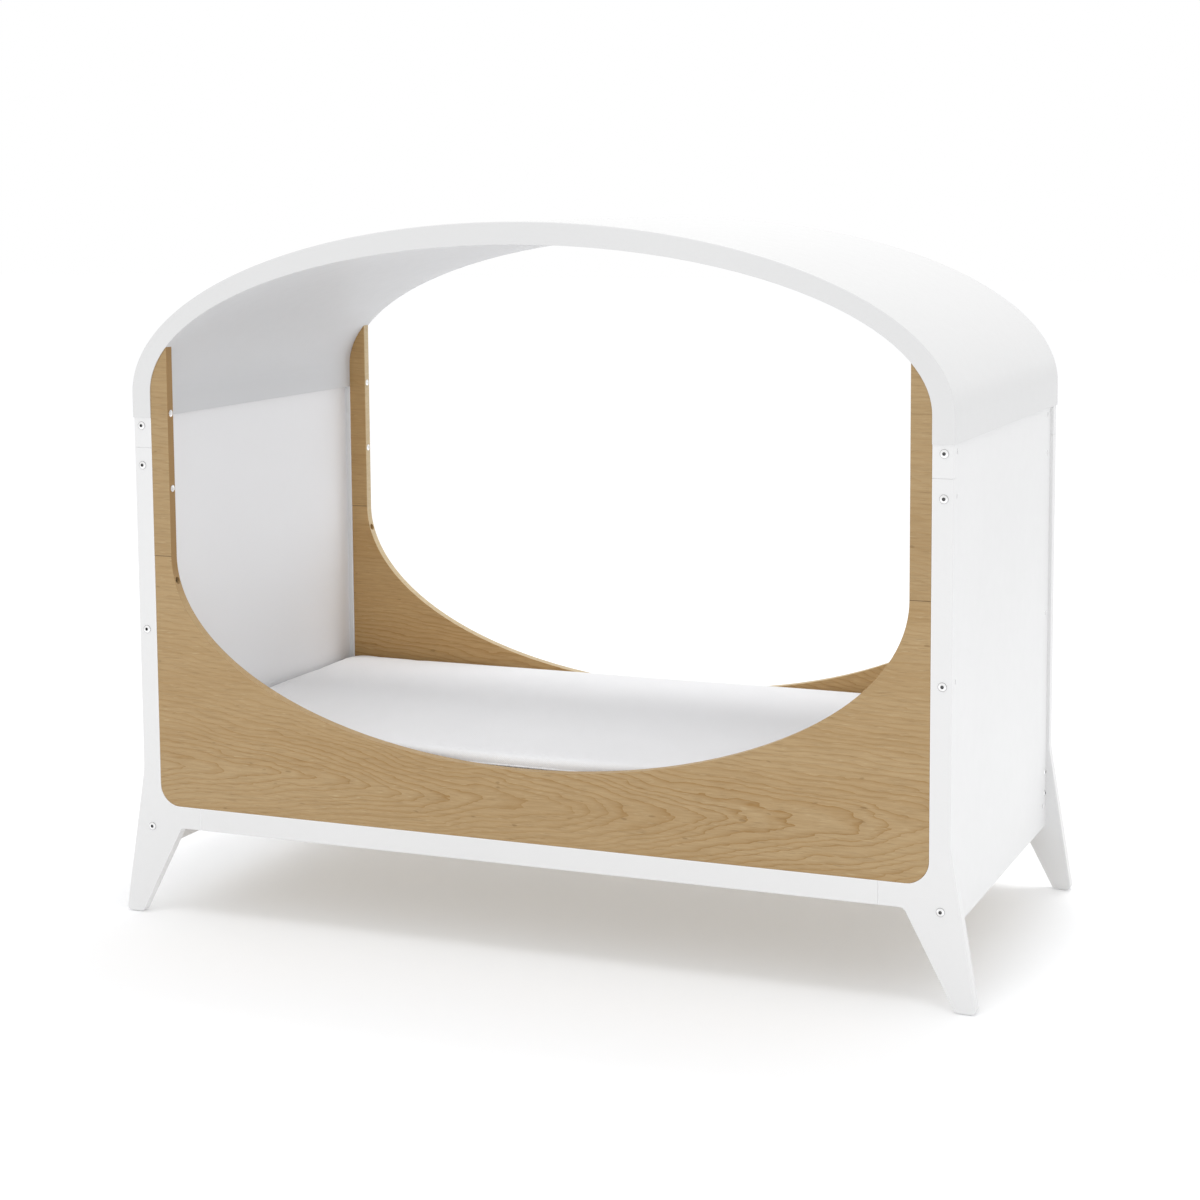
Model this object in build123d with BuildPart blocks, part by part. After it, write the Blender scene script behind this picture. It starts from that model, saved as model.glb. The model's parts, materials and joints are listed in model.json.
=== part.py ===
from build123d import *
import os
from math import acos, degrees

# Cot bed with an arched canopy: white frame, oak side panels, slatted base and a mattress.
# X runs along the bed, the front is at -Y, Z is up, and the origin is on the floor at the centre.
# All sizes are in millimetres.

os.makedirs("parts", exist_ok=True)

# ---- driving dimensions ----
DEPTH = 742.0                      # over the canopy, front to rear
FRAME_FACE = 370.0                 # outer face of the posts, legs and rails, from the middle
BOARD = 20.0                       # thickness of the posts, legs and rails
POST_OUT = 727.0                   # outer edge of a post, from the middle
POST_IN = 693.0                    # inner edge of a post
POST_TOP = 832.0                   # joint between a post and its upper block
CANOPY_BASE = 884.0                # lower edge of the canopy

RAIL_END = 612.0                   # joint between a leg and a bottom rail
RAIL_LOW = 160.0
RAIL_TOP = 199.0
CORNER_R = 38.0                    # round lower corners of the oak panels

LEG_FLARE = 262.0                  # height where the outer edge of a leg starts to splay
FOOT_OUT = 770.0
FOOT_IN = 737.0
KNEE = 656.0                       # inner edge of the leg where it meets the rail
GLIDE = 1.5

WOOD = 18.0                        # thickness of the oak panels and strips
WOOD_FACE = 369.5                  # front face of the oak, from the middle
STRIP_IN = 659.0                   # inner edge of the oak strips
STRIP_LOW = 643.0                  # joint between the strips and the side panel
CUT_DROP = 323.0                   # depth of the half-ellipse cut

OUTER_A, OUTER_B, OUTER_Z = 729.5, 296.0, 925.0      # ellipse of the canopy's outer skin
INNER_A, INNER_B, INNER_Z = 693.0, 256.0, 928.0      # ellipse of its inner skin
SKIN = 4.0                         # thickness of the canopy's skins
LIP = 5.0                          # thickness of the canopy's front and rear walls

PANEL_IN, PANEL_OUT = 703.0, 721.0                   # faces of an end panel
PANEL_LOW, PANEL_TOP = 117.0, 945.0
PANEL_HALF = FRAME_FACE - BOARD                      # end panels fit between the posts

TENON_IN, TENON_OUT = 699.0, 723.0                   # the block's tenon inside the canopy
TENON_FACE = 365.0
TENON_TOP = 940.0
TENON_X = (TENON_IN + TENON_OUT) / 2
TENON_Y = (PANEL_HALF + TENON_FACE) / 2

MATTRESS = (1400.0, 700.0, 100.5)
SLAT_TOP = 239.0
MATTRESS_LOW = SLAT_TOP + 0.3
SLAT = 12.0
SLAT_WIDTH = 60.0
SLAT_COUNT = 12
BASE_RAIL = 20.0                   # thickness of the base rails
BASE_LOW = 169.0
SIDES = ((-1, "front"), (1, "rear"))
ENDS = ((-1, "left"), (1, "right"))

# ---- fasteners ----
POST_BOLT_X = 712.0
POST_BOLTS_Z = (870.0, 801.0, 512.0, 159.0)          # the first goes through the upper block
STRIP_BOLTS_Z = (892.0, 761.0)                       # the first goes into the tenon
SUNK_BOLT_Z = 600.0
SUNK_SEAT = 672.0
BASE_BOLTS_Z = (219.0, 180.0)
BASE_BOLT_Y = 341.0
BOLT_R, HOLE_R = 3.0, 3.5
HEAD_R, HEAD_H = 7.0, 2.2
SMALL_HEAD_R = 6.0
NUT_Y = 328.0
NUT_R, NUT_DEEP = 5.0, 14.0
INSERT_R = 4.5
DOWEL_R, DOWEL_LONG = 4.0, 36.0
SCREW_R, SCREW_HEAD_R, SCREW_LONG = 1.8, 3.8, 32.0
RAIL_DOWELS_X = (-450.0, -150.0, 150.0, 450.0)
DOWEL_Y = 360.0
EDGE = 1.5                         # small round on the boards' long edges


def turned(axis):
    """Rotation that lays a cylinder or a bolt along an axis; a minus sign points it backwards."""
    return {"x": (0, 90, 0), "-x": (0, -90, 0), "y": (-90, 0, 0), "-y": (90, 0, 0), "z": (0, 0, 0)}[axis]


def drill(places, axis, radius, length):
    """Cut round holes, each centred on its place, in the part being built."""
    with Locations(*[Location(place, turned(axis)) for place in places]):
        Cylinder(radius, length, mode=Mode.SUBTRACT)


def broad_edges(builder):
    """Edges around the front and the rear face of an upright board."""
    faces = builder.faces().filter_by(Axis.Y).sort_by(Axis.Y)
    return faces[0].edges() + faces[-1].edges()


def dome_bolt(head_r, length):
    """One bolt: the seat of its low domed head is at the origin and its shank runs along -Z."""
    with BuildPart() as bolt:
        with BuildSketch(Plane.XZ):
            with BuildLine():
                Line((0, HEAD_H), (0, -length))
                Line((0, -length), (BOLT_R, -length))
                Line((BOLT_R, -length), (BOLT_R, 0))
                Line((BOLT_R, 0), (head_r, 0))
                Line((head_r, 0), (head_r, 0.6))
                TangentArc((0, HEAD_H), (head_r, 0.6), tangent=(1, 0))
            make_face()
        revolve(axis=Axis.Z)
        with BuildSketch(Plane.XY.offset(HEAD_H + 1)):
            RegularPolygon(2.6, 6)
        extrude(amount=-3, mode=Mode.SUBTRACT)
    return bolt.part


def keep(builder, name):
    """Label a finished piece and write it."""
    builder.part.label = name
    export_step(builder.part, f"parts/{name}.step")


# ---- canopy: outer shell with front, rear and lower walls ----
def arch(a, b, z, low):
    """Area under a half ellipse that stands on straight sides."""
    with BuildSketch() as area:
        with BuildLine():
            Line((-a, low), (-a, z))
            EllipticalCenterArc((0, z), a, b, start_angle=0, arc_size=180)
            Line((a, z), (a, low))
            Line((a, low), (-a, low))
        make_face()
    return area.sketch


with BuildPart() as canopy_shell:
    with BuildSketch(Plane.XZ.offset(-DEPTH / 2)):
        add(arch(OUTER_A, OUTER_B, OUTER_Z, CANOPY_BASE))
    extrude(amount=DEPTH)
    fillet(canopy_shell.faces().filter_by(GeomType.PLANE).filter_by(Axis.Y).edges().filter_by(
        lambda e: e.center().Z > CANOPY_BASE + 1), 2.5)
    with BuildSketch(Plane.XZ.offset(-DEPTH / 2 - 1)):
        add(arch(INNER_A, INNER_B, INNER_Z, CANOPY_BASE - 1))
    extrude(amount=DEPTH + 2, mode=Mode.SUBTRACT)
    # the hollow between the skins, open towards the liner
    with BuildSketch(Plane.XZ.offset(-DEPTH / 2 + LIP)):
        add(arch(OUTER_A - SKIN, OUTER_B - SKIN, OUTER_Z, CANOPY_BASE + SKIN))
    extrude(amount=DEPTH - 2 * LIP, mode=Mode.SUBTRACT)
    # openings in the lower wall for the end panels and the tenons
    for x_side, _ in ENDS:
        with BuildSketch(Plane.XY.offset(CANOPY_BASE)):
            with Locations((x_side * (PANEL_IN + PANEL_OUT) / 2, 0)):
                Rectangle(PANEL_OUT - PANEL_IN, 2 * PANEL_HALF)
            for y_side, _ in SIDES:
                with Locations((x_side * TENON_X, y_side * TENON_Y)):
                    Rectangle(TENON_OUT - TENON_IN, TENON_FACE - PANEL_HALF)
        extrude(amount=2 * SKIN, mode=Mode.SUBTRACT)
keep(canopy_shell, "canopy_shell")

# ---- canopy: inner liner between the front and rear walls ----
LINER_HALF = DEPTH / 2 - LIP
with BuildPart() as canopy_liner:
    with BuildSketch(Plane.XZ.offset(-LINER_HALF)):
        add(arch(INNER_A + SKIN, INNER_B + SKIN, INNER_Z, CANOPY_BASE + SKIN))
    extrude(amount=2 * LINER_HALF)
    with BuildSketch(Plane.XZ.offset(-LINER_HALF)):
        add(arch(INNER_A, INNER_B, INNER_Z, CANOPY_BASE))
    extrude(amount=2 * LINER_HALF, mode=Mode.SUBTRACT)
    drill([(x * (INNER_A + SKIN / 2), y * DOWEL_Y, STRIP_BOLTS_Z[0]) for x, _ in ENDS for y, _ in SIDES],
          "x", HOLE_R, 3 * SKIN)
keep(canopy_liner, "canopy_liner")

# ---- canopy: stiffening ribs inside the hollow, clear of the end panels ----
RIB_YS = (-270.0, -90.0, 90.0, 270.0)
RIB = 12.0
RIB_LOW = 975.0
with BuildPart() as canopy_ribs:
    for rib_y in RIB_YS:
        with BuildSketch(Plane.XZ.offset(-rib_y - RIB / 2)):
            add(arch(OUTER_A - SKIN, OUTER_B - SKIN, OUTER_Z, CANOPY_BASE))
            add(arch(INNER_A + SKIN, INNER_B + SKIN, INNER_Z, CANOPY_BASE - 1), mode=Mode.SUBTRACT)
            with Locations((0, RIB_LOW - 100)):
                Rectangle(2 * DEPTH, 200, mode=Mode.SUBTRACT)
        extrude(amount=RIB)
keep(canopy_ribs, "canopy_ribs")

# ---- posts with splayed legs ----
for y_side, y_name in SIDES:
    for x_side, x_name in ENDS:
        s = x_side
        back = y_side * FRAME_FACE if y_side > 0 else -PANEL_HALF
        with BuildPart() as leg:
            with BuildSketch(Plane.XZ.offset(-back)):
                with BuildLine():
                    Line((s * POST_IN, POST_TOP), (s * POST_IN, RAIL_TOP + CORNER_R))
                    RadiusArc((s * POST_IN, RAIL_TOP + CORNER_R), (s * (POST_IN - CORNER_R), RAIL_TOP),
                              s * CORNER_R)
                    Polyline((s * (POST_IN - CORNER_R), RAIL_TOP), (s * RAIL_END, RAIL_TOP),
                             (s * RAIL_END, RAIL_LOW), (s * (KNEE - 3), RAIL_LOW), (s * FOOT_IN, GLIDE),
                             (s * FOOT_OUT, GLIDE), (s * POST_OUT, LEG_FLARE), (s * POST_OUT, POST_TOP),
                             (s * POST_IN, POST_TOP))
                make_face()
                fillet([v for v in vertices() if v.Y < GLIDE + 1], 7.0)
                fillet([v for v in vertices() if abs(v.Y - RAIL_LOW) < 1 and abs(v.X) > RAIL_END + 1], 12.0)
                fillet([v for v in vertices() if abs(v.Y - LEG_FLARE) < 1], 120.0)
            extrude(amount=BOARD)
            fillet(broad_edges(leg), EDGE)
            middle = y_side * (FRAME_FACE - BOARD / 2)
            drill([(s * POST_BOLT_X, middle, z) for z in POST_BOLTS_Z[1:]], "y", HOLE_R, 2 * BOARD)
            drill([(s * POST_IN, y_side * DOWEL_Y, z) for z in (STRIP_BOLTS_Z[1], SUNK_BOLT_Z)],
                  "x", INSERT_R, 32)
            drill([(s * RAIL_END, middle, (RAIL_LOW + RAIL_TOP) / 2)], "x", DOWEL_R, DOWEL_LONG)
            drill([(s * (POST_OUT + POST_IN) / 2, middle, POST_TOP)], "z", DOWEL_R, DOWEL_LONG)
        keep(leg, f"{y_name}_{x_name}_leg")

        # upper block with a tenon that stands inside the canopy
        with BuildPart() as block:
            with Locations((s * (POST_OUT + POST_IN) / 2, middle, (POST_TOP + CANOPY_BASE) / 2)):
                Box(POST_OUT - POST_IN, BOARD, CANOPY_BASE - POST_TOP)
            fillet(block.edges().filter_by(Axis.Z), EDGE)
            fillet(block.faces().sort_by(Axis.Z)[0].edges(), 0.8)
            with BuildSketch(Plane.XY.offset(CANOPY_BASE)):
                with Locations((s * TENON_X, y_side * TENON_Y)):
                    Rectangle(TENON_OUT - TENON_IN, TENON_FACE - PANEL_HALF)
            extrude(amount=TENON_TOP - CANOPY_BASE)
            drill([(s * POST_BOLT_X, middle, POST_BOLTS_Z[0])], "y", HOLE_R, 2 * BOARD)
            drill([(s * TENON_IN, y_side * DOWEL_Y, STRIP_BOLTS_Z[0])], "x", INSERT_R, 32)
            drill([(s * (POST_OUT + POST_IN) / 2, middle, POST_TOP)], "z", DOWEL_R, DOWEL_LONG)
        keep(block, f"{y_name}_{x_name}_post_block")

# ---- bottom rails between the legs ----
for y_side, y_name in SIDES:
    middle = y_side * (FRAME_FACE - BOARD / 2)
    with BuildPart() as rail:
        with Locations((0, middle, (RAIL_LOW + RAIL_TOP) / 2)):
            Box(2 * RAIL_END, BOARD, RAIL_TOP - RAIL_LOW)
        fillet(rail.edges().filter_by(Axis.X), EDGE)
        fillet(rail.edges().filter_by(Axis.Z), 0.6)
        drill([(x * RAIL_END, middle, (RAIL_LOW + RAIL_TOP) / 2) for x, _ in ENDS], "x", DOWEL_R, DOWEL_LONG)
        drill([(x, y_side * DOWEL_Y, RAIL_TOP) for x in RAIL_DOWELS_X], "z", DOWEL_R, DOWEL_LONG)
    keep(rail, f"{y_name}_bottom_rail")

# ---- oak side panels with the half-ellipse cut ----
STRIP_MID = (POST_IN + STRIP_IN) / 2
STRIP_TURN = degrees(acos(STRIP_IN / INNER_A))       # part of the ellipse above a strip
for y_side, y_name in SIDES:
    wood_back = y_side * WOOD_FACE if y_side > 0 else -(WOOD_FACE - WOOD)
    wood_middle = y_side * (WOOD_FACE - WOOD / 2)
    with BuildPart() as side_panel:
        with BuildSketch(Plane.XZ.offset(-wood_back)):
            with Locations((0, (RAIL_TOP + STRIP_LOW) / 2)):
                Rectangle(2 * POST_IN, STRIP_LOW - RAIL_TOP)
            fillet(vertices().group_by(Axis.Y)[0], CORNER_R)
            with Locations((0, STRIP_LOW)):
                Ellipse(STRIP_IN, CUT_DROP, mode=Mode.SUBTRACT)
        extrude(amount=WOOD)
        fillet(broad_edges(side_panel), 0.9)
        drill([(x * POST_IN, y_side * DOWEL_Y, SUNK_BOLT_Z) for x, _ in ENDS], "x", HOLE_R, 160)
        drill([(x * SUNK_SEAT / 2, y_side * DOWEL_Y, SUNK_BOLT_Z) for x, _ in ENDS],
              "x", SMALL_HEAD_R + 0.3, SUNK_SEAT)
        drill([(x, y_side * DOWEL_Y, RAIL_TOP) for x in RAIL_DOWELS_X], "z", DOWEL_R, DOWEL_LONG)
        drill([(x * STRIP_MID, y_side * DOWEL_Y, STRIP_LOW) for x, _ in ENDS], "z", DOWEL_R, DOWEL_LONG)
    keep(side_panel, f"{y_name}_side_panel")

    # narrow strips from the side panel up to the canopy's underside
    for x_side, x_name in ENDS:
        with BuildPart() as strip:
            with BuildSketch(Plane.XZ.offset(-wood_back)):
                with BuildLine():
                    top = EllipticalCenterArc((0, INNER_Z), INNER_A, INNER_B, arc_size=STRIP_TURN,
                                              start_angle=0 if x_side > 0 else 180 - STRIP_TURN)
                    inner_end, outer_end = sorted((top @ 0, top @ 1), key=lambda point: abs(point.X))
                    Polyline(inner_end, (x_side * STRIP_IN, STRIP_LOW), (x_side * POST_IN, STRIP_LOW),
                             outer_end)
                make_face()
            extrude(amount=WOOD)
            fillet(strip.edges().filter_by(Axis.Z).sort_by(lambda edge: abs(edge.center().X))[:2], 0.9)
            drill([(x_side * STRIP_MID, y_side * DOWEL_Y, z) for z in STRIP_BOLTS_Z], "x", HOLE_R, 60)
            drill([(x_side * STRIP_MID, y_side * DOWEL_Y, STRIP_LOW)], "z", DOWEL_R, DOWEL_LONG)
        keep(strip, f"{y_name}_{x_name}_side_strip")

# ---- white end panels ----
PANEL_MID = (PANEL_IN + PANEL_OUT) / 2
for x_side, x_name in ENDS:
    with BuildPart() as end_panel:
        with Locations((x_side * PANEL_MID, 0, (PANEL_LOW + PANEL_TOP) / 2)):
            Box(PANEL_OUT - PANEL_IN, 2 * PANEL_HALF, PANEL_TOP - PANEL_LOW)
        fillet(end_panel.faces().sort_by(Axis.Z)[0].edges().filter_by(Axis.Y), EDGE)
        drill([(x_side * POST_BOLT_X, y * PANEL_HALF, z) for y, _ in SIDES for z in POST_BOLTS_Z],
              "y", HOLE_R, 62)
        drill([(x_side * (PANEL_OUT - NUT_DEEP / 2 + 1), y * NUT_Y, z)
               for y, _ in SIDES for z in POST_BOLTS_Z], "x", NUT_R, NUT_DEEP + 2)
        drill([(x_side * PANEL_MID, y * BASE_BOLT_Y, z) for y, _ in SIDES for z in BASE_BOLTS_Z],
              "x", HOLE_R, 30)
    keep(end_panel, f"{x_name}_end_panel")

# ---- mattress base: end rails, side rails, centre rail and slats ----
BASE_HALF = WOOD_FACE - WOOD - 2.5
BASE_IN = PANEL_IN - BASE_RAIL
for x_side, x_name in ENDS:
    with BuildPart() as base_end:
        with Locations((x_side * (PANEL_IN - BASE_RAIL / 2), 0, (BASE_LOW + SLAT_TOP) / 2)):
            Box(BASE_RAIL, 2 * BASE_HALF, SLAT_TOP - BASE_LOW)
        fillet(base_end.edges().filter_by(Axis.Y), 2.0)
        drill([(x_side * PANEL_IN, y * BASE_BOLT_Y, z) for y, _ in SIDES for z in BASE_BOLTS_Z],
              "x", INSERT_R, 2 * 16)
    keep(base_end, f"base_{x_name}_end_rail")
slat_pitch = (2 * BASE_IN - SLAT_WIDTH) / (SLAT_COUNT - 1)
slat_xs = [-BASE_IN + SLAT_WIDTH / 2 + i * slat_pitch for i in range(SLAT_COUNT)]
screw_y = BASE_HALF - BASE_RAIL / 2
for y_side, y_name in SIDES:
    with BuildPart() as base_side:
        with Locations((0, y_side * (BASE_HALF - BASE_RAIL / 2), (BASE_LOW + SLAT_TOP - SLAT) / 2)):
            Box(2 * BASE_IN, BASE_RAIL, SLAT_TOP - SLAT - BASE_LOW)
        fillet(base_side.edges().filter_by(Axis.X), 2.0)
        drill([(x, y_side * screw_y, SLAT_TOP) for x in slat_xs], "z", SCREW_R, 2 * SCREW_LONG)
    keep(base_side, f"base_{y_name}_rail")
CENTRE_LOW = 189.0
with BuildPart() as base_centre:
    with Locations((0, 0, (CENTRE_LOW + SLAT_TOP - SLAT) / 2)):
        Box(2 * BASE_IN, 44, SLAT_TOP - SLAT - CENTRE_LOW)
    fillet(base_centre.edges().filter_by(Axis.X), 2.0)
keep(base_centre, "base_centre_rail")

screw_places = [(x, y * screw_y, SLAT_TOP) for x in slat_xs for y, _ in SIDES]
with BuildPart() as slats:
    with Locations(*[(x, 0, SLAT_TOP - SLAT / 2) for x in slat_xs]):
        Box(SLAT_WIDTH - 0.4, 2 * BASE_HALF, SLAT)
    fillet(slats.edges().filter_by(Axis.Y), 1.5)
    with Locations(*[Location(place) for place in screw_places]):
        CounterSinkHole(SCREW_R, SCREW_HEAD_R, depth=SLAT, counter_sink_angle=90)
keep(slats, "base_slats")

# ---- mattress ----
with BuildPart() as mattress:
    with Locations((0, 0, MATTRESS_LOW + MATTRESS[2] / 2)):
        Box(*MATTRESS)
    fillet(mattress.edges().filter_by(Axis.Z), 40.0)
    fillet(mattress.faces().sort_by(Axis.Z)[-1].edges(), 10.0)
    fillet(mattress.faces().sort_by(Axis.Z)[0].edges(), 10.0)
keep(mattress, "mattress")

# ---- fasteners, each kind one group of separate solids ----
post_bolt = dome_bolt(HEAD_R, FRAME_FACE - NUT_Y + 7)
for y_side, y_name in SIDES:
    face_out = turned("-y") if y_side < 0 else turned("y")
    with BuildPart() as post_bolts:
        with Locations(*[Location((x * POST_BOLT_X, y_side * FRAME_FACE, z), face_out)
                         for x, _ in ENDS for z in POST_BOLTS_Z]):
            add(post_bolt)
    keep(post_bolts, f"{y_name}_post_bolts")

with BuildPart() as barrel_nuts:
    with Locations(*[Location((x * (PANEL_OUT - NUT_DEEP / 2), y * NUT_Y, z), turned("x"))
                     for x, _ in ENDS for y, _ in SIDES for z in POST_BOLTS_Z]):
        Cylinder(NUT_R, NUT_DEEP - 1)
    drill([(x * POST_BOLT_X, y * NUT_Y, z) for x, _ in ENDS for y, _ in SIDES for z in POST_BOLTS_Z],
          "y", BOLT_R, 4 * NUT_R)
keep(barrel_nuts, "barrel_nuts")

strip_bolt = dome_bolt(SMALL_HEAD_R, POST_IN - STRIP_IN + 14)
with BuildPart() as strip_bolts:
    for x_side, _ in ENDS:
        with Locations(*[Location((x_side * STRIP_IN, y * DOWEL_Y, z), turned("-x" if x_side > 0 else "x"))
                         for y, _ in SIDES for z in STRIP_BOLTS_Z]):
            add(strip_bolt)
keep(strip_bolts, "strip_bolts")

sunk_bolt = dome_bolt(SMALL_HEAD_R, POST_IN - SUNK_SEAT + 14)
with BuildPart() as side_panel_bolts:
    for x_side, _ in ENDS:
        with Locations(*[Location((x_side * SUNK_SEAT, y * DOWEL_Y, SUNK_BOLT_Z),
                                  turned("-x" if x_side > 0 else "x")) for y, _ in SIDES]):
            add(sunk_bolt)
keep(side_panel_bolts, "side_panel_bolts")

base_bolt = dome_bolt(SMALL_HEAD_R, PANEL_OUT - PANEL_IN + 14)
with BuildPart() as base_bolts:
    for x_side, _ in ENDS:
        face_out = turned("x" if x_side > 0 else "-x")
        with Locations(*[Location((x_side * PANEL_OUT, y * BASE_BOLT_Y, z), face_out)
                         for y, _ in SIDES for z in BASE_BOLTS_Z]):
            add(base_bolt)
keep(base_bolts, "base_bolts")

INSERT = 16.0
insert_places = [(x * (POST_IN + INSERT / 2), y * DOWEL_Y, z)
                 for x, _ in ENDS for y, _ in SIDES for z in (STRIP_BOLTS_Z[1], SUNK_BOLT_Z)]
insert_places += [(x * (TENON_IN + INSERT / 2), y * DOWEL_Y, STRIP_BOLTS_Z[0])
                  for x, _ in ENDS for y, _ in SIDES]
insert_places += [(x * (PANEL_IN - INSERT / 2), y * BASE_BOLT_Y, z)
                  for x, _ in ENDS for y, _ in SIDES for z in BASE_BOLTS_Z]
with BuildPart() as threaded_inserts:
    with Locations(*[Location(place, turned("x")) for place in insert_places]):
        Cylinder(INSERT_R, INSERT)
    drill(insert_places, "x", BOLT_R, 2 * INSERT)
keep(threaded_inserts, "threaded_inserts")

with BuildPart() as screw:
    with BuildSketch(Plane.XZ):
        with BuildLine():
            Polyline((0, 0), (SCREW_HEAD_R, 0), (SCREW_R, SCREW_R - SCREW_HEAD_R), (SCREW_R, 4 - SCREW_LONG),
                     (0, -SCREW_LONG), (0, 0))
        make_face()
    revolve(axis=Axis.Z)
with BuildPart() as slat_screws:
    with Locations(*[Location(place) for place in screw_places]):
        add(screw.part)
keep(slat_screws, "slat_screws")

# ---- dowels and glides ----
rail_middle = FRAME_FACE - BOARD / 2
with BuildPart() as wooden_dowels:
    for y_side, _ in SIDES:
        with Locations(*[Location((x * RAIL_END, y_side * rail_middle, (RAIL_LOW + RAIL_TOP) / 2),
                                  turned("x")) for x, _ in ENDS]):
            Cylinder(DOWEL_R, DOWEL_LONG)
        upright = [(x * (POST_OUT + POST_IN) / 2, y_side * rail_middle, POST_TOP) for x, _ in ENDS]
        upright += [(x * STRIP_MID, y_side * DOWEL_Y, STRIP_LOW) for x, _ in ENDS]
        upright += [(x, y_side * DOWEL_Y, RAIL_TOP) for x in RAIL_DOWELS_X]
        with Locations(*upright):
            Cylinder(DOWEL_R, DOWEL_LONG)
keep(wooden_dowels, "wooden_dowels")

with BuildPart() as foot_glides:
    with BuildSketch():
        with Locations(*[(x * (FOOT_IN + FOOT_OUT) / 2, y * rail_middle)
                         for x, _ in ENDS for y, _ in SIDES]):
            RectangleRounded(16, 15, 4)
    extrude(amount=GLIDE)
keep(foot_glides, "foot_glides")
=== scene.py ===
import json
import math

import bmesh
import bpy
from mathutils import Matrix, Vector
from mathutils.bvhtree import BVHTree


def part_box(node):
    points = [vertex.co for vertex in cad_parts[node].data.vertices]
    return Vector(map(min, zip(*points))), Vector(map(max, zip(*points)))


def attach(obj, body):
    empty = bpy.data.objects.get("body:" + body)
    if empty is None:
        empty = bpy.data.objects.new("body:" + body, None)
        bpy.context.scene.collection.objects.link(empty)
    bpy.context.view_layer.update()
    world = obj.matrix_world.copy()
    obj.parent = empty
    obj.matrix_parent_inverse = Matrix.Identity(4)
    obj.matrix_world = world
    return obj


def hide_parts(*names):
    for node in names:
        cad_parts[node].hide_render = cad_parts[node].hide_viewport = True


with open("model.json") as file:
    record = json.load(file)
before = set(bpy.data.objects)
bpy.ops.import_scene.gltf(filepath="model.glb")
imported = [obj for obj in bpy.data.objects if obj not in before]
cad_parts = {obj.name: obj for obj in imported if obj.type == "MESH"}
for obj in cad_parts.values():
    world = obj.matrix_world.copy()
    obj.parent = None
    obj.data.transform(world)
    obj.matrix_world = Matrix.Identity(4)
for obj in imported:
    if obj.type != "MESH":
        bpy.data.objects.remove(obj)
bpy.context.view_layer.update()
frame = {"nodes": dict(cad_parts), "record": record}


# ---- camera, light and floor ----
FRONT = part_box("front_left_leg")[0][1]               # front plane of the posts
CAMERA_PLACE = Vector((1.6115, FRONT - 3.5233, 1.261))
CAMERA_YAW, CAMERA_PITCH, CAMERA_ROLL = math.radians(22.541), math.radians(6.193), math.radians(-0.403)
LENS, SENSOR, SHIFT_Y = 71.94, 36.0, -0.12
WORLD_LIGHT = 1.0
FLOOR_SIZE = 60.0
FLOOR_COLOUR, FLOOR_GLOW = (0.845, 0.85, 0.86), 0.16


def add_camera():
    data = bpy.data.cameras.new("camera")
    data.lens = LENS
    data.sensor_width = SENSOR
    data.shift_y = SHIFT_Y
    data.clip_end = 100.0
    camera = bpy.data.objects.new("camera", data)
    bpy.context.scene.collection.objects.link(camera)
    turn = (Matrix.Rotation(CAMERA_YAW, 4, "Z") @ Matrix.Rotation(math.pi / 2 - CAMERA_PITCH, 4, "X")
            @ Matrix.Rotation(CAMERA_ROLL, 4, "Z"))
    camera.matrix_world = Matrix.Translation(CAMERA_PLACE) @ turn
    bpy.context.scene.camera = camera


def add_area_light(name, place, target, size, power):
    data = bpy.data.lights.new(name, "AREA")
    data.shape = "DISK"
    data.size = size
    data.energy = power
    light = bpy.data.objects.new(name, data)
    light.location = place
    light.rotation_euler = (Vector(target) - Vector(place)).to_track_quat("-Z", "Y").to_euler()
    bpy.context.scene.collection.objects.link(light)


def add_world():
    world = bpy.data.worlds.new("studio")
    world.use_nodes = True
    background = world.node_tree.nodes["Background"]
    background.inputs["Color"].default_value = (1.0, 1.0, 1.0, 1.0)
    background.inputs["Strength"].default_value = WORLD_LIGHT
    bpy.context.scene.world = world
    bpy.context.scene.view_settings.view_transform = "Standard"


def add_floor():
    """A white floor that glows a little, as a lit studio sweep does."""
    mesh = bpy.data.meshes.new("floor")
    half = FLOOR_SIZE / 2
    corners = [(-half, -half, 0), (half, -half, 0), (half, half, 0), (-half, half, 0)]
    mesh.from_pydata(corners, [], [(0, 1, 2, 3)])
    floor = bpy.data.objects.new("floor", mesh)
    bpy.context.scene.collection.objects.link(floor)
    material = bpy.data.materials.new("floor_white")
    material.use_nodes = True
    shader = material.node_tree.nodes["Principled BSDF"]
    shader.inputs["Base Color"].default_value = (*FLOOR_COLOUR, 1.0)
    shader.inputs["Roughness"].default_value = 0.9
    shader.inputs["Specular IOR Level"].default_value = 0.0
    shader.inputs["Emission Color"].default_value = (1.0, 1.0, 1.0, 1.0)
    shader.inputs["Emission Strength"].default_value = FLOOR_GLOW
    mesh.materials.append(material)


add_camera()
add_world()
add_floor()
add_area_light("high_rear", (0.2, 1.25, 4.6), (0.0, 0.0, 0.5), 1.1, 62.0)
add_area_light("high_front", (0.2, -1.6, 4.4), (0.0, 0.0, 0.4), 1.1, 22.0)


# ---- material building blocks ----
BAY_MIDDLE_Z = 0.85                # height of the bay's middle, which the inner faces look towards; it places the painted light and shade on the inner faces
SEAM_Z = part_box("front_left_side_strip")[0][2]       # joint between the oak strips and the side panels
FIGURE_Z = 0.285                   # the oak's pointed figure is centred on this height
TIP_ROUND = 0.00022                # how blunt the points of the figure are, in square metres
SOCKET_EDGE = (0.0026, 0.0031)     # distances from a bolt's axis, where the painted shade of its hex socket starts
# distances from a bolt's axis of the painted shade ring round the rim of its head
RIM_INNER, RIM_OUTER = (0.0060, 0.0068), (0.0078, 0.0086)
STITCH_GAP = 0.0042


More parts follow.
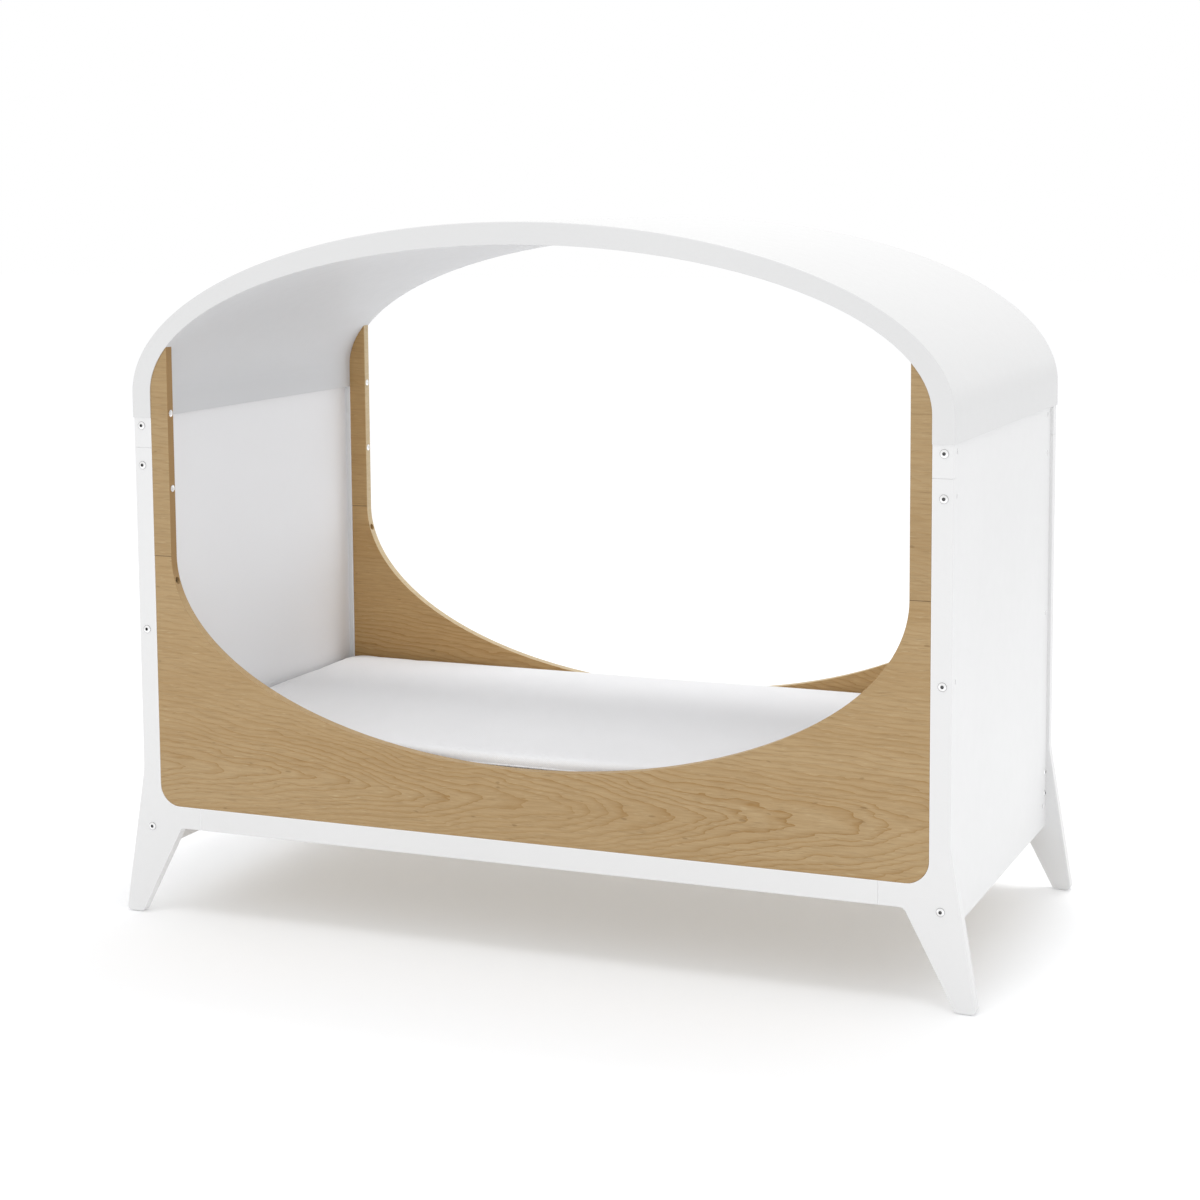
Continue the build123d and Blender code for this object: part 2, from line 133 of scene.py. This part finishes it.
class Nodes:
    """Short calls for building one material's node tree."""

    def __init__(self, name):
        self.material = bpy.data.materials.new(name)
        self.material.use_nodes = True
        self.tree = self.material.node_tree
        self.shader = self.tree.nodes["Principled BSDF"]
        coords = self.tree.nodes.new("ShaderNodeTexCoord")
        self.place = coords.outputs["Object"]
        self.normal = coords.outputs["Normal"]

    def link(self, source, target):
        if isinstance(source, bpy.types.NodeSocket):
            self.tree.links.new(source, target)
        else:
            target.default_value = source

    def math(self, operation, a, b=0.0, clamp=False):
        node = self.tree.nodes.new("ShaderNodeMath")
        node.operation = operation
        node.use_clamp = clamp
        self.link(a, node.inputs[0])
        self.link(b, node.inputs[1])
        return node.outputs[0]

    def split(self, vector):
        node = self.tree.nodes.new("ShaderNodeSeparateXYZ")
        self.link(vector, node.inputs[0])
        return node.outputs

    def join(self, x, y, z):
        node = self.tree.nodes.new("ShaderNodeCombineXYZ")
        for value, socket in zip((x, y, z), node.inputs):
            self.link(value, socket)
        return node.outputs[0]

    def noise(self, vector, scale, detail=3.0, roughness=0.5):
        node = self.tree.nodes.new("ShaderNodeTexNoise")
        self.link(vector, node.inputs["Vector"])
        node.inputs["Scale"].default_value = scale
        node.inputs["Detail"].default_value = detail
        node.inputs["Roughness"].default_value = roughness
        return node.outputs["Fac"]

    def remap(self, value, low, high, to_low=0.0, to_high=1.0):
        node = self.tree.nodes.new("ShaderNodeMapRange")
        self.link(value, node.inputs["Value"])
        node.inputs["From Min"].default_value = low
        node.inputs["From Max"].default_value = high
        node.inputs["To Min"].default_value = to_low
        node.inputs["To Max"].default_value = to_high
        return node.outputs["Result"]

    def mix(self, factor, a, b, blend="MIX"):
        node = self.tree.nodes.new("ShaderNodeMix")
        node.data_type = "RGBA"
        node.blend_type = blend
        self.link(factor, node.inputs["Factor"])
        for value, socket in ((a, node.inputs["A"]), (b, node.inputs["B"])):
            self.link(value if isinstance(value, bpy.types.NodeSocket) else (*value, 1.0), socket)
        return node.outputs["Result"]

    def bump(self, height, distance, strength=1.0):
        node = self.tree.nodes.new("ShaderNodeBump")
        node.inputs["Strength"].default_value = strength
        node.inputs["Distance"].default_value = distance
        self.link(height, node.inputs["Height"])
        self.link(node.outputs["Normal"], self.shader.inputs["Normal"])

    def set(self, socket, value):
        self.link(value, self.shader.inputs[socket])


def sprayed_white(name, colour, roughness, peel_scale, peel_depth, inner_face_shading, crown=None):
    """White paint: slight tone drift, a fine sprayed texture and a satin sheen.

    The colour given for the faces that look in towards the bed is painted light where it is lighter than the
    paint and painted shade where it is darker; crown is the colour of the faces that look up, painted shade on
    the tops.
    """
    n = Nodes(name)
    drift = n.noise(n.place, 2.2, 2.0)
    darker = tuple(part * 0.975 for part in colour)
    base = n.mix(n.remap(drift, 0.3, 0.7), darker, colour)
    x, _, z = n.split(n.place)
    nx, _, nz = n.split(n.normal)
    # painted shade on the faces that look up
    if crown:
        base = n.mix(n.remap(nz, 0.35, 0.95), base, crown)
    # painted light and shade: the faces that look in towards the bed get their own colour
    away_in_height = n.math("MULTIPLY", n.math("SUBTRACT", z, BAY_MIDDLE_Z), nz)
    outward = n.math("ADD", n.math("MULTIPLY", x, nx), away_in_height)
    base = n.mix(n.remap(outward, -0.02, -0.08), base, inner_face_shading)
    n.set("Base Color", base)
    n.set("Roughness", n.remap(n.noise(n.place, 45.0, 3.0), 0.3, 0.7, roughness - 0.04, roughness + 0.05))
    n.bump(n.noise(n.place, peel_scale, 3.0, 0.6), peel_depth)
    n.shader.inputs["Specular IOR Level"].default_value = 0.4
    return n.material


def wood(name, light, mid, dark, edge, ring_size=0.010, arrow_gap=0.062, seed=0.0, gloss=0.5, board_y=True,
         long_axis="x", seam=None):
    """Sawn wood with its grain along one axis: pointed ring figure, fibres, pale flecks and open pores.

    board_y says that the boards face the front and the rear; the rear boards then get painted warm bounce
    light, and the narrow faces get painted light and shade in front and a pale tone behind.
    seam is the height of a joint line; the boards above it get painted shade.
    """
    n = Nodes(name)
    x, y, z = n.split(n.place)
    if long_axis == "y":
        x, y, z = y, z, x
    shifted = n.math("ADD", y, seed)

    def streak(along, through, across, detail=2.0, roughness=0.5):
        vector = n.join(n.math("MULTIPLY", x, along), n.math("MULTIPLY", shifted, through),
                        n.math("MULTIPLY", z, across))
        return n.noise(vector, 1.0, detail, roughness)

    # growth rings cut nearly flat: nested arrowheads along the middle, near-straight lines above and below
    wander = n.remap(streak(1.5, 1.7, 1.0), 0.0, 1.0, -0.075, 0.075)
    across = n.math("ADD", n.math("SUBTRACT", z, FIGURE_Z), wander)
    blunt = n.math("SQRT", n.math("ADD", n.math("MULTIPLY", across, across), TIP_ROUND))
    phase = n.math("ADD", n.math("DIVIDE", x, arrow_gap), n.math("DIVIDE", blunt, ring_size))
    phase = n.math("ADD", phase, n.remap(streak(2.6, 1.7, 6.0), 0.0, 1.0, -3.2, 3.2))
    phase = n.math("ADD", phase, n.remap(streak(9.0, 1.7, 34.0, 3.0, 0.6), 0.0, 1.0, -1.1, 1.1))
    phase = n.math("ADD", phase, n.remap(streak(34.0, 9.0, 240.0), 0.0, 1.0, -0.09, 0.09))
    uneven = n.noise(n.join(n.math("MULTIPLY", phase, 0.37), seed, 0.0), 1.0, 1.0)
    ring = n.math("FRACT", n.math("ADD", phase, n.remap(uneven, 0.0, 1.0, -0.9, 0.9)))
    line = n.math("ADD", n.math("MULTIPLY", n.math("POWER", ring, 2.2), 0.45),
                  n.math("MULTIPLY", n.math("POWER", ring, 10.0), 0.85))
    fade = n.remap(n.math("ABSOLUTE", across), 0.05, 0.22, 1.0, 0.36)
    patches = n.remap(streak(2.0, 1.7, 8.0), 0.32, 0.66, 0.35, 1.0)
    line = n.math("MULTIPLY", line, n.math("MULTIPLY", fade, patches))
    # fibres, pale flecks, pores and pin marks run along the board
    fibre = streak(16.0, 60.0, 300.0, 4.0, 0.65)
    pale = n.remap(n.math("ABSOLUTE", n.math("SUBTRACT", ring, 0.45)), 0.0, 0.25, 0.12, 0.0)
    base = n.mix(n.math("MULTIPLY", pale, fade), light, edge)
    base = n.mix(line, base, mid)
    base = n.mix(n.remap(fibre, 0.42, 0.78, 0.0, 0.4), base, dark)
    base = n.mix(n.remap(streak(1.1, 1.7, 13.0, 3.0), 0.4, 0.7, 0.0, 0.3), base, mid)
    base = n.mix(n.remap(streak(45.0, 60.0, 420.0), 0.62, 0.74, 0.0, 0.3), base, edge)
    pores = n.remap(streak(30.0, 60.0, 700.0), 0.62, 0.72, 0.0, 0.5)
    base = n.mix(pores, base, dark)
    base = n.mix(n.remap(streak(40.0, 3.0, 130.0, 0.0), 0.79, 0.84, 0.0, 0.6), base, dark)
    if seam:
        gap = n.math("ABSOLUTE", n.math("SUBTRACT", z, seam))
        base = n.mix(n.remap(gap, 0.0005, 0.0010, 0.65, 0.0), base, tuple(part * 0.4 for part in dark))
        # painted shade: the boards above the seam are a little darker
        base = n.mix(n.remap(z, seam, seam + 0.001), base, n.mix(1.0, base, (0.95, 0.95, 0.95), "MULTIPLY"))
    if board_y:
        # painted warm bounce light on the rear boards
        rear = n.remap(y, -0.05, 0.05)
        base = n.mix(rear, base, n.mix(1.0, base, (1.18, 1.08, 0.92), "MULTIPLY"))
        # the narrow faces: painted shade on the front boards' edges, with painted light where they face up;
        # the rear boards' edges keep a pale tone
        side = n.math("ABSOLUTE", n.split(n.normal)[1])
        upward = n.remap(n.split(n.normal)[2], 0.1, 0.5)
        front_edge_shading = n.mix(upward, mid, tuple(part * 1.12 for part in light))
        edge_tone = n.mix(n.remap(fibre, 0.3, 0.7, 0.0, 0.3), n.mix(rear, front_edge_shading, edge), mid)
        base = n.mix(n.remap(side, 0.35, 0.75), edge_tone, base)
    n.set("Base Color", base)
    n.set("Roughness", n.remap(fibre, 0.2, 0.8, gloss - 0.06, gloss + 0.1))
    n.bump(n.math("SUBTRACT", fibre, n.math("MULTIPLY", pores, 1.4)), 0.00035, 0.6)
    n.shader.inputs["Specular IOR Level"].default_value = 0.35
    return n.material


def bolt_places(node, side):
    """Places of a node's bolts: distance from the middle along axis number side, and height."""
    bm = bmesh.new()
    bm.from_mesh(frame["nodes"][node].data)
    bmesh.ops.remove_doubles(bm, verts=bm.verts, dist=0.00001)
    left = set(bm.verts)
    places = set()
    while left:
        waiting = [left.pop()]
        solid = []
        while waiting:
            vertex = waiting.pop()
            solid.append(vertex.co.copy())
            near = {edge.other_vert(vertex) for edge in vertex.link_edges} & left
            left -= near
            waiting.extend(near)
        sides = [point[side] for point in solid]
        heights = [point.z for point in solid]
        places.add((round(abs(min(sides) + max(sides)) / 2, 4), round((min(heights) + max(heights)) / 2, 4)))
    bm.free()
    return sorted(places)


def head_distance(n):
    """Distance from the axis of the nearest post or base bolt."""
    x, y, z = n.split(n.place)
    nearest = 1.0
    for along, places in ((x, bolt_places("front_post_bolts", 0)), (y, bolt_places("base_bolts", 1))):
        for side, height in places:
            off = n.math("SUBTRACT", n.math("ABSOLUTE", along), side)
            up = n.math("SUBTRACT", z, height)
            away = n.math("SQRT", n.math("ADD", n.math("MULTIPLY", off, off), n.math("MULTIPLY", up, up)))
            nearest = n.math("MINIMUM", away, nearest)
    return nearest


def metal(name, colour, roughness, painted_socket_shade=False):
    """Plated steel with fine handling marks; on the visible bolts it can paint shade into the hex sockets and
    round the rims of the heads.
    """
    n = Nodes(name)
    marks = n.noise(n.place, 900.0, 4.0, 0.6)
    stain = n.noise(n.place, 120.0, 2.0)
    base = n.mix(n.remap(stain, 0.3, 0.7), colour, tuple(part * 0.86 for part in colour))
    if painted_socket_shade:
        # painted shade: a near-black disc for the hex socket and a dark ring round the rim of the head
        away = head_distance(n)
        base = n.mix(n.remap(away, *SOCKET_EDGE, 0.92, 0.0), base, (0.03, 0.03, 0.03))
        rim = n.math("MULTIPLY", n.remap(away, *RIM_INNER), n.remap(away, *RIM_OUTER, 0.6, 0.0))
        base = n.mix(rim, base, (0.10, 0.10, 0.10))
    n.set("Base Color", base)
    n.set("Roughness", n.remap(marks, 0.3, 0.7, roughness - 0.06, roughness + 0.1))
    n.shader.inputs["Metallic"].default_value = 1.0
    n.bump(marks, 0.00005, 0.5)
    return n.material


def nylon(name, colour):
    """Moulded nylon with a fine matt grain."""
    n = Nodes(name)
    grain = n.noise(n.place, 1400.0, 3.0)
    n.set("Base Color", n.mix(n.remap(grain, 0.3, 0.7), colour, tuple(part * 0.93 for part in colour)))
    n.set("Roughness", n.remap(grain, 0.3, 0.7, 0.5, 0.62))
    n.bump(grain, 0.0001)
    return n.material


def knitted(name, colour):
    """Stretch-knit mattress cover: staggered stitches a few millimetres apart, with soft fuzz."""
    n = Nodes(name)
    x, y, z = n.split(n.place)
    stitch = 2 * math.pi / STITCH_GAP
    across = n.math("SINE", n.math("MULTIPLY", n.math("ADD", x, n.math("MULTIPLY", z, 0.5)), stitch))
    along = n.math("SINE", n.math("MULTIPLY", n.math("ADD", y, n.math("MULTIPLY", z, 0.8)), stitch * 0.8))
    weave = n.remap(n.math("MULTIPLY", across, along), -1.0, 1.0)
    fuzz = n.noise(n.place, 700.0, 3.0, 0.7)
    slow = n.noise(n.place, 6.0, 2.0)
    height = n.math("ADD", n.math("MULTIPLY", weave, 0.7), n.math("MULTIPLY", fuzz, 0.5))
    tone = n.math("ADD", n.remap(weave, 0.0, 1.0, 0.0, 0.6), n.remap(slow, 0.3, 0.7, 0.0, 0.4))
    n.set("Base Color", n.mix(tone, tuple(part * 0.95 for part in colour), colour))
    n.set("Roughness", n.remap(fuzz, 0.3, 0.7, 0.82, 0.95))
    n.bump(height, 0.0005, 0.7)
    n.shader.inputs["Sheen Weight"].default_value = 0.25
    n.shader.inputs["Sheen Roughness"].default_value = 0.5
    n.shader.inputs["Specular IOR Level"].default_value = 0.15
    return n.material


OAK_LIGHT, OAK_MID, OAK_DARK = (0.446, 0.309, 0.156), (0.325, 0.187, 0.062), (0.240, 0.148, 0.060)
OAK_EDGE = (0.59, 0.47, 0.29)
PINE_LIGHT, PINE_MID, PINE_DARK = (0.77, 0.69, 0.56), (0.69, 0.58, 0.43), (0.56, 0.45, 0.30)
MATERIALS = {
    # frame: painted light on the faces that look in towards the bed
    "frame_white": sprayed_white("frame_white", (0.785, 0.785, 0.785), 0.42, 260.0, 0.00006,
                                 inner_face_shading=(0.86, 0.86, 0.87)),
    # canopy: painted shade on its inner faces and on the faces that look up
    "canopy_white": sprayed_white("canopy_white", (0.715, 0.715, 0.715), 0.5, 700.0, 0.0001,
                                  inner_face_shading=(0.655, 0.66, 0.67), crown=(0.61, 0.61, 0.61)),
    "oak": wood("oak", OAK_LIGHT, OAK_MID, OAK_DARK, OAK_EDGE, seed=4.0, seam=SEAM_Z),
    "base_wood": wood("base_wood", PINE_LIGHT, PINE_MID, PINE_DARK, PINE_LIGHT, ring_size=0.009, seed=9.0,
                      gloss=0.6, board_y=False),
    "slat_wood": wood("slat_wood", PINE_LIGHT, PINE_LIGHT, PINE_MID, PINE_LIGHT, ring_size=0.02, seed=13.0,
                      gloss=0.6, board_y=False, long_axis="y"),
    "mattress_fabric": knitted("mattress_fabric", (0.85, 0.85, 0.86)),
    "bolt_steel": metal("bolt_steel", (0.95, 0.95, 0.95), 0.22, painted_socket_shade=True),
    "zinc_steel": metal("zinc_steel", (0.55, 0.55, 0.53), 0.34),
    "glide_nylon": nylon("glide_nylon", (0.72, 0.72, 0.70)),
}


def dress_frame():
    """Give every CAD node the material of its slot in the record."""
    slots = {row["node"]: row["material_slot"] for row in frame["record"]["subparts"]}
    for name, obj in frame["nodes"].items():
        material = MATERIALS[slots[name]]
        if not obj.material_slots:
            obj.data.materials.append(material)
        for entry in obj.material_slots:
            entry.material = material


# ---- mattress ----
LOW, HIGH = (Vector(corner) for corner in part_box("mattress"))
INSET = 0.004                      # the cover starts smaller and swells to size
CORNER, EDGE = 0.038, 0.006
VOXEL = 0.007
SWELL_CAP = 0.0035
PUFF = 0.004                       # the soft top stands this far proud of the block
BASE_GAP = 0.0002                  # the cover's underside stays this far above the block's
CROWN, WAVE, PULL = 0.0012, 0.0006, 0.0010           # heights of the top's slow unevenness
PIPING_R = 0.0017
PIPING_DROP = 0.02                 # seams sit this far in from the top and bottom faces
PIPING_SUNK = 0.0004               # depth of the cord's middle under the cover's surface
PIPING_UNEVEN = 0.00018
PIPING_SIDES = 8
PIPING_POINTS = 320


def new_object(name, mesh):
    obj = bpy.data.objects.new(name, mesh)
    bpy.context.scene.collection.objects.link(obj)
    return obj


def mattress_blank():
    """Slightly undersized foam block with round corners and edges."""
    bm = bmesh.new()
    bmesh.ops.create_cube(bm, size=1.0)
    size = (HIGH - LOW) - Vector((2 * INSET,) * 3)
    bmesh.ops.scale(bm, vec=size, verts=bm.verts)
    bmesh.ops.translate(bm, vec=(LOW + HIGH) / 2, verts=bm.verts)
    upright = [e for e in bm.edges if abs(e.verts[0].co.z - e.verts[1].co.z) > 0.01]
    bmesh.ops.bevel(bm, geom=upright, offset=CORNER, segments=8, profile=0.5, affect="EDGES")
    rims = []
    for edge in bm.edges:
        tilts = [abs(face.normal.z) for face in edge.link_faces]
        if len(tilts) == 2 and max(tilts) > 0.9 and min(tilts) < 0.1:
            rims.append(edge)
    bmesh.ops.bevel(bm, geom=rims, offset=EDGE, segments=4, profile=0.5, affect="EDGES")
    mesh = bpy.data.meshes.new("mattress_cover")
    bm.to_mesh(mesh)
    bm.free()
    return new_object("mattress_cover", mesh)


def bake_modifiers(obj):
    """Replace the object's mesh with its evaluated one and drop the modifiers."""
    bpy.context.view_layer.update()
    evaluated = obj.evaluated_get(bpy.context.evaluated_depsgraph_get())
    mesh = bpy.data.meshes.new_from_object(evaluated)
    obj.modifiers.clear()
    obj.data = mesh


def swell(obj):
    """Let a little inner pressure round the cover out, as a filled cover does."""
    start = [vertex.co.copy() for vertex in obj.data.vertices]
    cloth = obj.modifiers.new("cloth", "CLOTH")
    cloth.settings.quality = 4
    cloth.settings.mass = 0.25
    cloth.settings.tension_stiffness = 18.0
    cloth.settings.compression_stiffness = 18.0
    cloth.settings.bending_stiffness = 1.2
    cloth.settings.use_pressure = True
    cloth.settings.uniform_pressure_force = 4.0
    cloth.settings.effector_weights.gravity = 0.0
    scene = bpy.context.scene
    for step in range(1, 21):
        scene.frame_set(step)
    bake_modifiers(obj)
    scene.frame_set(1)
    for vertex, old in zip(obj.data.vertices, start):
        move = vertex.co - old
        if move.length > SWELL_CAP:
            vertex.co = old + move.normalized() * SWELL_CAP
        vertex.co.z = max(vertex.co.z, LOW.z + BASE_GAP)


def settle_cover(obj):
    """Slow unevenness of a soft top, with faint pulls towards the corners."""
    middle = (LOW + HIGH) / 2
    half = (HIGH - LOW) / 2
    for vertex in obj.data.vertices:
        if vertex.co.z < middle.z:
            continue
        rise = (vertex.co.z - middle.z) / half.z
        u, v = (vertex.co.x - middle.x) / half.x, (vertex.co.y - middle.y) / half.y
        crown = CROWN * (1 - u ** 4) * (1 - v ** 4)
        wave = WAVE * math.sin(7.1 * u + 2.3 * v) * math.sin(5.3 * v - 1.9 * u + 0.6)
        pull = PULL * (abs(u * v) ** 6) * math.sin(34.0 * math.atan2(abs(v), abs(u)))
        vertex.co.z += rise * (PUFF + crown + wave + pull)


def rim_path(surface, z_side):
    """Points round the cover's side wall, near its top or bottom, with their outward directions."""
    half_x, half_y = HIGH.x - INSET - CORNER, HIGH.y - INSET - CORNER
    straight = 4 * (half_x + half_y)
    arc = 2 * math.pi * CORNER
    points = []
    for i in range(PIPING_POINTS):
        run = (straight + arc) * i / PIPING_POINTS
        x, y, nx, ny = half_x, -half_y, 1.0, 0.0
        for quarter in range(4):
            side = 2 * (half_y if quarter % 2 == 0 else half_x)
            turn = quarter * math.pi / 2
            corner_x = (1, 1, -1, -1)[quarter] * half_x
            corner_y = (-1, 1, 1, -1)[quarter] * half_y
            if run < side:
                nx, ny = math.cos(turn), math.sin(turn)
                x, y = corner_x - ny * run, corner_y + nx * run
                break
            run -= side
            if run < arc / 4:
                angle = turn + run / CORNER
                nx, ny = math.cos(angle), math.sin(angle)
                x = (1, -1, -1, 1)[quarter] * half_x
                y = (1, 1, -1, -1)[quarter] * half_y
                break
            run -= arc / 4
        height = HIGH.z - PIPING_DROP if z_side > 0 else LOW.z + PIPING_DROP
        rim = Vector((x + nx * CORNER, y + ny * CORNER, height))
        out = Vector((nx, ny, 0.0))
        hit = surface.ray_cast(rim + out * 0.05, -out)[0]
        points.append((hit, out))
    return points


def piping(name, cover, z_side):
    """A thin sewn cord round the side wall, more than half sunk in the cover."""
    points = [vertex.co for vertex in cover.data.vertices]
    surface = BVHTree.FromPolygons(points, [polygon.vertices for polygon in cover.data.polygons])
    path = rim_path(surface, z_side)
    sides = PIPING_SIDES
    verts, faces = [], []
    for i, (centre, out) in enumerate(path):
        ahead = (path[(i + 1) % len(path)][0] - path[i - 1][0]).normalized()
        third = ahead.cross(out).normalized()
        radius = PIPING_R + PIPING_UNEVEN * math.sin(i * 1.7)
        for k in range(sides):
            angle = 2 * math.pi * k / sides
            radial = out * math.cos(angle) + third * math.sin(angle)
            verts.append(centre - out * PIPING_SUNK + radial * radius)
    for i in range(len(path)):
        j = (i + 1) % len(path)
        for k in range(sides):
            m = (k + 1) % sides
            faces.append((i * sides + k, j * sides + k, j * sides + m, i * sides + m))
    mesh = bpy.data.meshes.new(name)
    mesh.from_pydata(verts, [], faces)
    mesh.update()
    bm = bmesh.new()
    bm.from_mesh(mesh)
    bmesh.ops.recalc_face_normals(bm, faces=bm.faces)
    bm.to_mesh(mesh)
    bm.free()
    obj = new_object(name, mesh)
    finish_soft(obj)


def finish_soft(obj):
    obj.data.materials.clear()
    obj.data.materials.append(MATERIALS["mattress_fabric"])
    for polygon in obj.data.polygons:
        polygon.use_smooth = True
    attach(obj, "mattress_body")


def make_mattress():
    cover = mattress_blank()
    remesh = cover.modifiers.new("remesh", "REMESH")
    remesh.mode = "VOXEL"
    remesh.voxel_size = VOXEL
    bake_modifiers(cover)
    swell(cover)
    settle_cover(cover)
    smooth = cover.modifiers.new("smooth", "SMOOTH")
    smooth.iterations = 2
    bake_modifiers(cover)
    finish_soft(cover)
    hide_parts("mattress")
    piping("mattress_upper_piping", cover, 1)
    piping("mattress_lower_piping", cover, -1)


dress_frame()
make_mattress()
